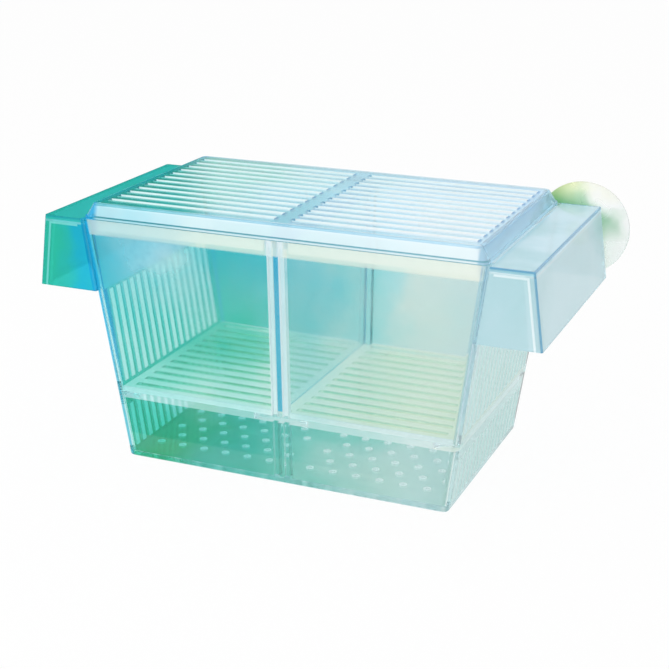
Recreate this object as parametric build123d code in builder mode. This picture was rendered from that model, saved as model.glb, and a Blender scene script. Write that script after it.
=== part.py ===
from build123d import *

import os

# Fish breeding box that hangs inside an aquarium: a clear tapered tub with a hanger wing at each
# end, a slotted lid, a divider that slides between two rails, two slotted false floors and a
# suction cup. Millimetres. X runs along the tub, Y to its back wall, Z up. The origin is the
# centre of the tub's flat underside.

# Tub
TUB_HEIGHT = 100.0
BASE_LENGTH = 138.7
BASE_DEPTH = 90.5
RIM_LENGTH = 166.6
RIM_DEPTH = 98.0
WALL = 2.0
CORNER_RADIUS = 2.5
BOTTOM_ROUNDING = 0.8

# Hanger wings: inverted troughs that stand out from both ends of the tub
WING_BOTTOM = 70.8
WING_DEPTH = 98.4
WING_REACH_TOP = 100.0
WING_REACH_BOTTOM = 104.0
WING_ROOT = 1.2
WING_ROUNDING = 0.8
HOLLOW_CORNER_RADIUS = 3.5

# Water slots in the end walls, in two groups above and below the false floor
SIDE_SLOT_COUNT = 16
SIDE_SLOT_PITCH = 5.2
SIDE_SLOT_WIDTH = 2.0
LOWER_SLOTS = (3.0, 21.0)
UPPER_SLOTS = (31.0, 69.5)

# Drain holes in the floor, staggered, either side of the divider
DRAIN_RADIUS = 1.15
DRAIN_SIDES = 8
DRAIN_PITCH_X = 10.0
DRAIN_PITCH_Y = 8.8
DRAIN_COLUMNS = 6
DRAIN_ROWS = 8
DRAIN_CENTRE_X = 34.0

# Rails for the divider, and what the false floors rest on
RAIL_WIDTH = 6.8
RAIL_GROOVE = 2.4
RAIL_DEPTH = 3.0
RAIL_TOP = 97.0
SHELF_SEAT = 28.0
SEAT_THICKNESS = 2.5
LEDGE_REACH = 2.6
BRACKET_RADIUS = 8.0

# Divider
DIVIDER_THICKNESS = 2.0
DIVIDER_BOTTOM = 30.3
DIVIDER_CLEARANCE = 0.4
DIVIDER_CAP_WIDTH = 8.6
DIVIDER_CAP_THICKNESS = 2.4

# False floors
SHELF_THICKNESS = 2.0
SHELF_CLEARANCE = 0.5
SHELF_GAP = 0.5
SHELF_SLOT_COUNT = 12
SHELF_SLOT_PITCH = 7.1
SHELF_SLOT_WIDTH = 3.0
SHELF_SLOT_START = 5.0
SHELF_SLOT_END = 67.0
NOTCH_CLEARANCE = 0.4

# Lid
LID_TOP = 106.2
LID_PLATE = 2.0
LID_TOP_LENGTH = 159.0
LID_TOP_DEPTH = 93.2
LID_BEVEL_LENGTH = 164.2
LID_BEVEL_DEPTH = 96.2
FLANGE_LENGTH = 165.2
FLANGE_DEPTH = 97.2
FLANGE_THICKNESS = 1.2
LIP_BOTTOM = 95.3
LIP_LENGTH = 160.4
LIP_DEPTH = 92.8
LIP_THICKNESS = 1.5
LIP_GAP = 10.4
LID_SIDE = 1.8
LID_ROUNDING = 0.8
LID_SLOT_COUNT = 12
LID_SLOT_PITCH = 7.05
LID_SLOT_WIDTH = 2.8
LID_SLOT_START = 3.75
LID_SLOT_END = 76.0

# Suction cup: its axis runs along Y through the back wall of the right wing
CUP_X = 90.8
CUP_Z = 88.0
CUP_RADIUS = 19.5
CUP_DEPTH = 10.0
CUP_SEAL = 2.0
CUP_EDGE = 1.0
CUP_FLOOR = 1.6
CUP_DISH_STEPS = 3
CUP_HUB_RADIUS = 7.0
CUP_HUB_DEPTH = 3.2
CUP_NECK_RADIUS = 2.9
CUP_HOLE_RADIUS = 3.0
CUP_HEAD_RADIUS = 4.2
CUP_HEAD_DEPTH = 3.4
CUP_PLAY = 0.15

BEYOND = 2.0
ENDS = (-1, 1)


def tub_size(height, inset=0.0):
    """Length and depth of the tub's outline at a height, drawn in on every side by an inset."""
    share = height / TUB_HEIGHT
    length = BASE_LENGTH + (RIM_LENGTH - BASE_LENGTH) * share - 2 * inset
    depth = BASE_DEPTH + (RIM_DEPTH - BASE_DEPTH) * share - 2 * inset
    return length, depth


def wing_reach(height):
    """How far a wing's outer wall stands from the tub's middle at a height."""
    share = (TUB_HEIGHT - height) / (TUB_HEIGHT - WING_BOTTOM)
    return WING_REACH_TOP + (WING_REACH_BOTTOM - WING_REACH_TOP) * share


def tapered_block(low, high, foot, top, radius):
    """A block with flat sloping sides and rounded upright edges between two heights.

    foot and top are (least x, greatest x, half depth) at the lower and the upper height.
    """
    with BuildPart() as block:
        with BuildSketch(Plane.XZ):
            with BuildLine():
                Polyline((foot[0], low), (foot[1], low), (top[1], high), (top[0], high), close=True)
            make_face()
        extrude(amount=RIM_DEPTH, both=True)
        with BuildSketch(Plane.YZ):
            with BuildLine():
                Polyline((-foot[2], low), (foot[2], low), (top[2], high), (-top[2], high), close=True)
            make_face()
        extrude(amount=RIM_LENGTH, both=True, mode=Mode.INTERSECT)
        upright = block.edges().filter_by(lambda edge: abs(edge.tangent_at(0.5).Z) > 0.5)
        fillet(upright, radius)
    return block.part


def tub_limits(height, inset=0.0):
    """Least x, greatest x and half depth of the tub's outline at a height."""
    length, depth = tub_size(height, inset)
    return -length / 2, length / 2, depth / 2


def wing_limits(end, height, root_inset, wall):
    """Least x, greatest x and half depth of a wing's outline at a height."""
    root = tub_size(height)[0] / 2 - root_inset
    reach = wing_reach(height) - wall
    return min(end * root, end * reach), max(end * root, end * reach), WING_DEPTH / 2 - wall


with BuildPart() as tub_block:
    add(tapered_block(0, TUB_HEIGHT, tub_limits(0), tub_limits(TUB_HEIGHT), CORNER_RADIUS))
    fillet(tub_block.edges().group_by(Axis.Z)[0], BOTTOM_ROUNDING)

with BuildPart() as tank:
    add(tub_block.part)
    for end in ENDS:
        wing_foot = wing_limits(end, WING_BOTTOM, WING_ROOT, 0)
        wing_top = wing_limits(end, TUB_HEIGHT, WING_ROOT, 0)
        add(tapered_block(WING_BOTTOM, TUB_HEIGHT, wing_foot, wing_top, WING_ROUNDING))

    # Hollow undersides of the wings, which leave the tub's own end walls whole
    with BuildPart(mode=Mode.PRIVATE) as wing_spaces:
        for end in ENDS:
            mouth = WING_BOTTOM - BEYOND
            roof = TUB_HEIGHT - WALL
            space_foot = wing_limits(end, mouth, 2 * HOLLOW_CORNER_RADIUS, WALL)
            space_top = wing_limits(end, roof, 2 * HOLLOW_CORNER_RADIUS, WALL)
            add(tapered_block(mouth, roof, space_foot, space_top, HOLLOW_CORNER_RADIUS))
        add(tub_block.part, mode=Mode.SUBTRACT)
    add(wing_spaces.part, mode=Mode.SUBTRACT)

    # Inside of the tub
    mouth = TUB_HEIGHT + BEYOND
    space_foot = tub_limits(WALL, WALL)
    tub_space = tapered_block(WALL, mouth, space_foot, tub_limits(mouth, WALL), CORNER_RADIUS - 1)
    add(tub_space, mode=Mode.SUBTRACT)

    # Divider rails: a grooved rib on the front wall and one on the back wall
    face_foot = tub_size(WALL, WALL)[1] / 2
    face_top = tub_size(RAIL_TOP, WALL)[1] / 2
    with BuildSketch(Plane.YZ):
        with BuildLine():
            Polyline(
                (face_foot - RAIL_DEPTH, WALL / 2),
                (face_foot + WALL / 2, WALL / 2),
                (face_top + WALL / 2, RAIL_TOP),
                (face_top - RAIL_DEPTH, RAIL_TOP),
                close=True,
            )
        make_face()
        mirror(about=Plane.YZ)
    extrude(amount=RAIL_WIDTH / 2, both=True)
    with BuildSketch(Plane.YZ):
        with BuildLine():
            Polyline(
                (face_foot - RAIL_DEPTH - BEYOND, WALL),
                (face_foot, WALL),
                (face_top, RAIL_TOP),
                (face_top - RAIL_DEPTH - BEYOND, RAIL_TOP),
                close=True,
            )
        make_face()
        mirror(about=Plane.YZ)
    extrude(amount=RAIL_GROOVE / 2, both=True, mode=Mode.SUBTRACT)

    # Quarter-round brackets beside the rails and in the corners, and a ledge on each end wall
    seat_length, seat_depth = tub_size(SHELF_SEAT - SEAT_THICKNESS, WALL)
    with BuildSketch(Plane.XY.offset(SHELF_SEAT - SEAT_THICKNESS)):
        with GridLocations(0, seat_depth, 1, 2):
            SlotCenterToCenter(RAIL_WIDTH, 2 * BRACKET_RADIUS)
        with GridLocations(seat_length, seat_depth, 2, 2):
            Circle(BRACKET_RADIUS)
        with GridLocations(seat_length, 0, 2, 1):
            Rectangle(2 * LEDGE_REACH, seat_depth)
        Rectangle(seat_length + WALL, seat_depth + WALL, mode=Mode.INTERSECT)
    extrude(amount=SEAT_THICKNESS)

    # Water slots through the end walls
    for end in ENDS:
        for low, high in (LOWER_SLOTS, UPPER_SLOTS):
            inside = tub_size(low, 3 * WALL)[0] / 2
            outside = tub_size(high)[0] / 2 + BEYOND
            with BuildSketch(Plane.YZ.offset(end * inside)):
                with Locations((0, (low + high) / 2)):
                    with GridLocations(SIDE_SLOT_PITCH, 1, SIDE_SLOT_COUNT, 1):
                        Rectangle(SIDE_SLOT_WIDTH, high - low)
            extrude(amount=end * (outside - inside), mode=Mode.SUBTRACT)

    # Drain holes through the floor: every second row is shifted by half a pitch
    with BuildSketch(Plane.XY.offset(-BEYOND)):
        for end in ENDS:
            for row in range(DRAIN_ROWS):
                shift = DRAIN_PITCH_X / 4 if row % 2 else -DRAIN_PITCH_X / 4
                row_y = (row - (DRAIN_ROWS - 1) / 2) * DRAIN_PITCH_Y
                with Locations((end * DRAIN_CENTRE_X + shift, row_y)):
                    with GridLocations(DRAIN_PITCH_X, 1, DRAIN_COLUMNS, 1):
                        RegularPolygon(DRAIN_RADIUS, DRAIN_SIDES)
    extrude(amount=WALL + 2 * BEYOND, mode=Mode.SUBTRACT)

    # Hole for the suction cup's neck
    with BuildSketch(Plane.XZ.offset(-WING_DEPTH / 2 - BEYOND)):
        with Locations((CUP_X, CUP_Z)):
            Circle(CUP_HOLE_RADIUS)
    extrude(amount=WALL + 2 * BEYOND, mode=Mode.SUBTRACT)

with BuildPart() as lid:
    # Lip that locates the lid inside the rim, and the flange that rests on the rim
    with BuildSketch(Plane.XY.offset(LIP_BOTTOM)):
        RectangleRounded(LIP_LENGTH, LIP_DEPTH, CORNER_RADIUS - 1.0)
    extrude(amount=TUB_HEIGHT - LIP_BOTTOM)
    with BuildSketch(Plane.XY.offset(TUB_HEIGHT)):
        RectangleRounded(FLANGE_LENGTH, FLANGE_DEPTH, CORNER_RADIUS)
    extrude(amount=FLANGE_THICKNESS)

    # Bevelled cover
    with BuildSketch(Plane.XY.offset(TUB_HEIGHT + FLANGE_THICKNESS)):
        RectangleRounded(LID_BEVEL_LENGTH, LID_BEVEL_DEPTH, CORNER_RADIUS)
    with BuildSketch(Plane.XY.offset(LID_TOP)):
        RectangleRounded(LID_TOP_LENGTH, LID_TOP_DEPTH, CORNER_RADIUS)
    loft(ruled=True)
    fillet(lid.edges().group_by(Axis.Z)[-1], LID_ROUNDING)

    # Hollow underside
    with BuildSketch(Plane.XY.offset(LIP_BOTTOM)):
        RectangleRounded(LIP_LENGTH - 2 * LIP_THICKNESS, LIP_DEPTH - 2 * LIP_THICKNESS, 1.0)
    with BuildSketch(Plane.XY.offset(LID_TOP - LID_PLATE)):
        RectangleRounded(LID_TOP_LENGTH - 2 * LID_SIDE, LID_TOP_DEPTH - 2 * LID_SIDE, 1.0)
    loft(ruled=True, mode=Mode.SUBTRACT)

    # The lip stops short of the rails and the divider's cap
    with BuildSketch(Plane.XY.offset(LIP_BOTTOM)):
        Rectangle(LIP_GAP, LIP_DEPTH + BEYOND)
    extrude(amount=TUB_HEIGHT - LIP_BOTTOM, mode=Mode.SUBTRACT)

    # Slots either side of the plain middle band
    slot_length = LID_SLOT_END - LID_SLOT_START
    slot_centres = LID_SLOT_START + LID_SLOT_END
    with BuildSketch(Plane.XY.offset(LID_TOP - LID_PLATE)):
        with GridLocations(slot_centres, LID_SLOT_PITCH, 2, LID_SLOT_COUNT):
            Rectangle(slot_length, LID_SLOT_WIDTH)
    extrude(amount=LID_PLATE, mode=Mode.SUBTRACT)

with BuildPart() as divider:
    # Plate that follows the taper of the tub's front and back walls
    with BuildSketch(Plane.YZ.offset(-DIVIDER_THICKNESS / 2)):
        with BuildLine():
            foot = tub_size(DIVIDER_BOTTOM, WALL + DIVIDER_CLEARANCE)[1] / 2
            shoulder = tub_size(RAIL_TOP, WALL + DIVIDER_CLEARANCE)[1] / 2
            Polyline(
                (-foot, DIVIDER_BOTTOM),
                (foot, DIVIDER_BOTTOM),
                (shoulder, RAIL_TOP),
                (-shoulder, RAIL_TOP),
                close=True,
            )
        make_face()
    extrude(amount=DIVIDER_THICKNESS)

    # Cap that hangs on the rails
    with BuildSketch(Plane.XY.offset(RAIL_TOP)):
        Rectangle(DIVIDER_CAP_WIDTH, 2 * shoulder)
    extrude(amount=DIVIDER_CAP_THICKNESS)


def false_floor(end):
    """A slotted plate for one compartment: end is -1 for the left one and 1 for the right one."""
    outer_x, outer_y = (size / 2 for size in tub_size(SHELF_SEAT, WALL + SHELF_CLEARANCE))
    inner_x = SHELF_GAP / 2
    notch_x = RAIL_WIDTH / 2 + NOTCH_CLEARANCE
    notch_y = tub_size(SHELF_SEAT, WALL)[1] / 2 - RAIL_DEPTH - NOTCH_CLEARANCE
    with BuildPart() as plate:
        with BuildSketch(Plane.XY.offset(SHELF_SEAT)):
            with Locations((end * (inner_x + outer_x) / 2, 0)):
                Rectangle(outer_x - inner_x, 2 * outer_y)
            Rectangle(2 * notch_x, 2 * outer_y, mode=Mode.SUBTRACT)
            with Locations((end * (inner_x + notch_x) / 2, 0)):
                Rectangle(notch_x - inner_x, 2 * notch_y)
        extrude(amount=SHELF_THICKNESS)
        with BuildSketch(Plane.XY.offset(SHELF_SEAT)):
            with Locations((end * (SHELF_SLOT_START + SHELF_SLOT_END) / 2, 0)):
                with GridLocations(1, SHELF_SLOT_PITCH, 1, SHELF_SLOT_COUNT):
                    Rectangle(SHELF_SLOT_END - SHELF_SLOT_START, SHELF_SLOT_WIDTH)
        extrude(amount=SHELF_THICKNESS, mode=Mode.SUBTRACT)
    return plate.part


left_shelf = false_floor(-1)
right_shelf = false_floor(1)


def dish_rings(low, high, near, far):
    """Rings of a dish from its middle outwards, as (radius, height) on a sphere about the axis."""
    rise = high - low
    centre = low + (far**2 - near**2 + rise**2) / (2 * rise)
    sphere = ((centre - low) ** 2 + near**2) ** 0.5
    radii = [near + (far - near) * step / CUP_DISH_STEPS for step in range(CUP_DISH_STEPS + 1)]
    return [(radius, centre - (sphere**2 - radius**2) ** 0.5) for radius in radii]


with BuildPart() as suction_cup:
    # Half section: local x is the radius, local y the distance behind the wing's back face
    with BuildSketch(Plane((CUP_X, WING_DEPTH / 2, CUP_Z), x_dir=(1, 0, 0), z_dir=(0, 0, 1))):
        with BuildLine():
            head_face = -WALL - CUP_PLAY
            head_tip = head_face - CUP_HEAD_DEPTH
            hub_top = CUP_PLAY + CUP_HUB_DEPTH
            outside = dish_rings(hub_top, CUP_DEPTH - CUP_EDGE, CUP_HUB_RADIUS, CUP_RADIUS)
            inside = dish_rings(hub_top + CUP_FLOOR, CUP_DEPTH, CUP_NECK_RADIUS, CUP_RADIUS - CUP_SEAL)
            Polyline(
                (0, hub_top + CUP_FLOOR),
                (0, head_tip),
                (CUP_NECK_RADIUS, head_tip),
                (CUP_HEAD_RADIUS, head_face - CUP_HEAD_DEPTH / 3),
                (CUP_HEAD_RADIUS, head_face),
                (CUP_NECK_RADIUS, head_face),
                (CUP_NECK_RADIUS, CUP_PLAY),
                (CUP_HUB_RADIUS, CUP_PLAY),
                *outside,
                (CUP_RADIUS, CUP_DEPTH),
                *reversed(inside),
                close=True,
            )
        make_face()
    revolve(axis=Axis((CUP_X, 0, CUP_Z), (0, 1, 0)))

tank.part.label = "tank"
lid.part.label = "lid"
divider.part.label = "divider"
left_shelf.label = "left_shelf"
right_shelf.label = "right_shelf"
suction_cup.part.label = "suction_cup"

os.makedirs("parts", exist_ok=True)
for piece in (tank.part, lid.part, divider.part, left_shelf, right_shelf, suction_cup.part):
    export_step(piece, f"parts/{piece.label}.step")
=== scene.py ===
import logging
import math
from dataclasses import dataclass
from enum import Enum

import bmesh
import bpy
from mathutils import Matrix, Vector


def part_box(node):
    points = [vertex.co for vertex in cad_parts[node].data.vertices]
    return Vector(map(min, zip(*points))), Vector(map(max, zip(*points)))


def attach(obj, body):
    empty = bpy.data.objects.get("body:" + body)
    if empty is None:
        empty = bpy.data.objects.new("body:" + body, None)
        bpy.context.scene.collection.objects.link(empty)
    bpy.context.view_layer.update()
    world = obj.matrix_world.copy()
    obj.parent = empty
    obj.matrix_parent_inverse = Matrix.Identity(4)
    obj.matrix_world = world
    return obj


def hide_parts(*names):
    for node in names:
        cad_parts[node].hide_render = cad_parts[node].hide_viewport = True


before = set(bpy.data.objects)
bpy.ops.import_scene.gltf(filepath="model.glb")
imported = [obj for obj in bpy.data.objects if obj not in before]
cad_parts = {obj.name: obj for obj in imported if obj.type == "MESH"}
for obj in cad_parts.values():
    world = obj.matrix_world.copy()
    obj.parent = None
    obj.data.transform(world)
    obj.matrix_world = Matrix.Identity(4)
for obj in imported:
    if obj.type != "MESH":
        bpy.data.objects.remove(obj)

log = logging.getLogger("breeding_box")

MM = 0.001
BOX_MIDDLE = (0.0, 0.0, 0.05)
END_LEAN = 0.1395
SIDE_LEAN = 0.0375
WHITE = (1.0, 1.0, 1.0, 1.0)
MIX_SHARE = 0
MIX_NUMBERS = (2, 3)
MIX_COLOURS = (6, 7)
MIX_NUMBER_OUT = 0
MIX_COLOUR_OUT = 2


class Axis(Enum):
    """A direction of the row frame, named as the Separate XYZ node names it."""

    ALONG = "X"
    ACROSS = "Y"
    UP = "Z"


@dataclass(frozen=True)
class Tint:
    """A colour as the eye sees it, each part from 0 to 255."""

    red: int
    green: int
    blue: int

    def linear(self) -> tuple[float, float, float, float]:
        """Returns the colour in the shader's linear light, with full alpha."""
        values = []
        for part in (self.red, self.green, self.blue):
            share = part / 255
            low = share / 12.92
            high = ((share + 0.055) / 1.055) ** 2.4
            values.append(low if share <= 0.04045 else high)
        return (values[0], values[1], values[2], 1.0)


@dataclass(frozen=True)
class Stop:
    """One stop of a tint that changes along the box: where it is and what colour it has."""

    x_mm: float
    tint: Tint


class NodeSheet:
    """A material's node tree, with short ways to add and wire its nodes."""

    DRIFT_BLOTCHES = 22.0
    DRIFT_DETAIL = 4.0
    DRIFT_RANGE = (0.25, 0.75)

    def __init__(self, name: str, drift_mm: float = 0.0) -> None:
        """Starts a material with an empty node tree.

        Args:
            name: the material's name.
            drift_mm: how far its tints wander along the box, in soft clouds.
        """
        self.drift_mm = drift_mm
        self.material = bpy.data.materials.new(name)
        self.material.use_nodes = True
        self.tree = self.material.node_tree
        self.tree.nodes.clear()
        self.output = self.tree.nodes.new("ShaderNodeOutputMaterial")

    def add(self, kind: str, **settings: object) -> bpy.types.Node:
        """Adds a node.

        Args:
            kind: the node's Blender type.
            settings: the node's own properties.

        Returns:
            The new node.
        """
        node = self.tree.nodes.new(kind)
        for key, value in settings.items():
            setattr(node, key, value)
        return node

    def wire(self, start: bpy.types.NodeSocket, end: bpy.types.NodeSocket) -> None:
        """Joins an output socket to an input socket."""
        self.tree.links.new(start, end)

    def place(self) -> bpy.types.NodeSocket:
        """Returns the point on the piece in the row frame, in metres."""
        return self.add("ShaderNodeTexCoord").outputs["Object"]

    def coordinate(self, axis: Axis) -> bpy.types.NodeSocket:
        """Returns how far along an axis the point on the piece is, in metres."""
        parts = self.add("ShaderNodeSeparateXYZ")
        self.wire(self.place(), parts.inputs["Vector"])
        return parts.outputs[axis.value]

    def noise(self, scale: float, detail: float = 3.0) -> bpy.types.NodeSocket:
        """Returns soft noise over the piece.

        Args:
            scale: how many blotches there are in a metre.
            detail: how many finer octaves are added.
        """
        node = self.add("ShaderNodeTexNoise")
        node.inputs["Scale"].default_value = scale
        node.inputs["Detail"].default_value = detail
        self.wire(self.place(), node.inputs["Vector"])
        return node.outputs["Fac"]

    def math(
        self, operation: str, first: bpy.types.NodeSocket, *others: bpy.types.NodeSocket | float
    ) -> bpy.types.NodeSocket:
        """Works out one sum.

        Args:
            operation: the Math node's operation.
            first: the first value.
            others: the other values, where the operation has them.

        Returns:
            The result's socket.
        """
        node = self.add("ShaderNodeMath", operation=operation)
        self.wire(first, node.inputs[0])
        for place, value in zip(node.inputs[1:], others):
            if isinstance(value, float):
                place.default_value = value
            else:
                self.wire(value, place)
        return node.outputs[0]

    def remap(
        self, value: bpy.types.NodeSocket, given: tuple[float, float], wanted: tuple[float, float]
    ) -> bpy.types.NodeSocket:
        """Returns a value of a given range, turned into one of a wanted range."""
        node = self.add("ShaderNodeMapRange")
        for name, number in zip(("From Min", "From Max", "To Min", "To Max"), given + wanted):
            node.inputs[name].default_value = number
        self.wire(value, node.inputs["Value"])
        return node.outputs["Result"]

    def blend(
        self, share: bpy.types.NodeSocket, under: bpy.types.NodeSocket, over: bpy.types.NodeSocket
    ) -> bpy.types.NodeSocket:
        """Returns one colour laid over another by a share."""
        mix = self.add("ShaderNodeMix", data_type="RGBA")
        self.wire(share, mix.inputs[MIX_SHARE])
        for colour, place in zip((under, over), MIX_COLOURS):
            self.wire(colour, mix.inputs[place])
        return mix.outputs[MIX_COLOUR_OUT]

    def ramp_along_x(self, stops: tuple[Stop, ...]) -> bpy.types.NodeSocket:
        """Returns a colour that changes along the box.

        Args:
            stops: the colours and their places, from left to right.
        """
        first, last = stops[0].x_mm * MM, stops[-1].x_mm * MM
        along = self.coordinate(Axis.ALONG)
        if self.drift_mm:
            reach = self.drift_mm * MM
            noise = self.noise(self.DRIFT_BLOTCHES, self.DRIFT_DETAIL)
            clouds = self.remap(noise, self.DRIFT_RANGE, (-reach, reach))
            along = self.math("ADD", along, clouds)
        along = self.remap(along, (first, last), (0.0, 1.0))
        ramp = self.add("ShaderNodeValToRGB")
        ramp.color_ramp.interpolation = "EASE"
        elements = ramp.color_ramp.elements
        while len(elements) < len(stops):
            elements.new(0.5)
        for element, stop in zip(elements, stops):
            element.position = (stop.x_mm * MM - first) / (last - first)
            element.color = stop.tint.linear()
        self.wire(along, ramp.inputs["Fac"])
        return ramp.outputs["Color"]


@dataclass(frozen=True)
class Fade:
    """A share that goes from 0 to 1 between two places along a direction.

    A mirrored fade is measured outwards from the middle of the box on both sides. A fade that
    leans follows a sloping wall: its places move outwards by that much with each unit of height.
    """

    axis: Axis
    start_mm: float
    end_mm: float
    mirrored: bool = False
    lean: float = 0.0

    def share(self, sheet: NodeSheet) -> bpy.types.NodeSocket:
        """Adds the fade's nodes.

        Args:
            sheet: the material's node sheet.

        Returns:
            The share's socket.
        """
        place = sheet.coordinate(self.axis)
        if self.mirrored:
            place = sheet.math("ABSOLUTE", place)
        if self.lean:
            shift = sheet.math("MULTIPLY", sheet.coordinate(Axis.UP), self.lean)
            place = sheet.math("SUBTRACT", place, shift)
        return sheet.remap(place, (self.start_mm * MM, self.end_mm * MM), (0.0, 1.0))


@dataclass(frozen=True)
class Facing:
    """A share that is 1 on faces that look along an axis and 0 on the others."""

    axis: Axis
    least: float = 0.6
    most: float = 0.8

    def share(self, sheet: NodeSheet) -> bpy.types.NodeSocket:
        """Adds the nodes that read the face's direction.

        Args:
            sheet: the material's node sheet.

        Returns:
            The share's socket.
        """
        parts = sheet.add("ShaderNodeSeparateXYZ")
        sheet.wire(sheet.add("ShaderNodeNewGeometry").outputs["True Normal"], parts.inputs["Vector"])
        size = sheet.math("ABSOLUTE", parts.outputs[self.axis.value])
        return sheet.remap(size, (self.least, self.most), (0.0, 1.0))


@dataclass(frozen=True)
class Bars:
    """A share that is 1 on evenly spaced bars, one of them at the middle of the box or beside it."""

    axis: Axis
    pitch_mm: float
    half_width_mm: float
    shift_mm: float = 0.0
    soft_mm: float = 0.25

    def share(self, sheet: NodeSheet) -> bpy.types.NodeSocket:
        """Adds the nodes that find the nearest bar.

        Args:
            sheet: the material's node sheet.

        Returns:
            The share's socket.
        """
        place = sheet.math("SUBTRACT", sheet.coordinate(self.axis), self.shift_mm * MM)
        half = self.pitch_mm / 2 * MM
        gap = sheet.math("ABSOLUTE", sheet.math("WRAP", place, half, -half))
        edge = self.half_width_mm * MM
        return sheet.remap(gap, (edge + self.soft_mm * MM, edge), (0.0, 1.0))


@dataclass(frozen=True)
class Clouds:
    """A share that comes and goes in soft clouds, as haze does on handled plastic; it also breaks up the
    painted reflections and the painted highlight.
    """

    scale: float = 26.0
    least: float = 0.5
    most: float = 0.75
    detail: float = 5.0

    def share(self, sheet: NodeSheet) -> bpy.types.NodeSocket:
        """Adds the clouds.

        Args:
            sheet: the material's node sheet.

        Returns:
            The share's socket.
        """
        return sheet.remap(sheet.noise(self.scale, self.detail), (self.least, self.most), (0.0, 1.0))


@dataclass(frozen=True)
class HoleRims:
    """A share that is 1 around holes in staggered rows, turned half round at the other end."""

    first_mm: tuple[float, float]
    cell_mm: tuple[float, float]
    radius_mm: float
    soft_mm: float = 0.15

    def share(self, sheet: NodeSheet) -> bpy.types.NodeSocket:
        """Adds the nodes that find the nearest hole.

        Args:
            sheet: the material's node sheet.

        Returns:
            The share's socket.
        """
        along, across = sheet.coordinate(Axis.ALONG), sheet.coordinate(Axis.ACROSS)
        side = sheet.math("SIGN", along)
        outwards, sideways = sheet.math("MULTIPLY", along, side), sheet.math("MULTIPLY", across, side)
        nearest: bpy.types.NodeSocket | None = None
        for row in (0.0, 0.5):
            squares = []
            for place, first, cell in zip((outwards, sideways), self.first_mm, self.cell_mm):
                start = (first + row * cell) * MM
                half = cell / 2 * MM
                gap = sheet.math("WRAP", sheet.math("SUBTRACT", place, start), half, -half)
                squares.append(sheet.math("MULTIPLY", gap, gap))
            distance = sheet.math("SQRT", sheet.math("ADD", *squares))
            nearest = distance if nearest is None else sheet.math("MINIMUM", nearest, distance)
        return sheet.remap(nearest, ((self.radius_mm + self.soft_mm) * MM, self.radius_mm * MM), (0.0, 1.0))


@dataclass(frozen=True)
class Patch:
    """A region of a piece with a tint or a clearness of its own, where all its shares overlap."""

    where: tuple[Fade | Facing | Bars | Clouds | HoleRims, ...]
    stops: tuple[Stop, ...] = ()
    transmission: float | None = None

    def share(self, sheet: NodeSheet) -> bpy.types.NodeSocket:
        """Multiplies the shares of all the patch's limits.

        Args:
            sheet: the material's node sheet.

        Returns:
            The share's socket.
        """
        whole = self.where[0].share(sheet)
        for limit in self.where[1:]:
            whole = sheet.math("MULTIPLY", whole, limit.share(sheet))
        return whole


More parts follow.
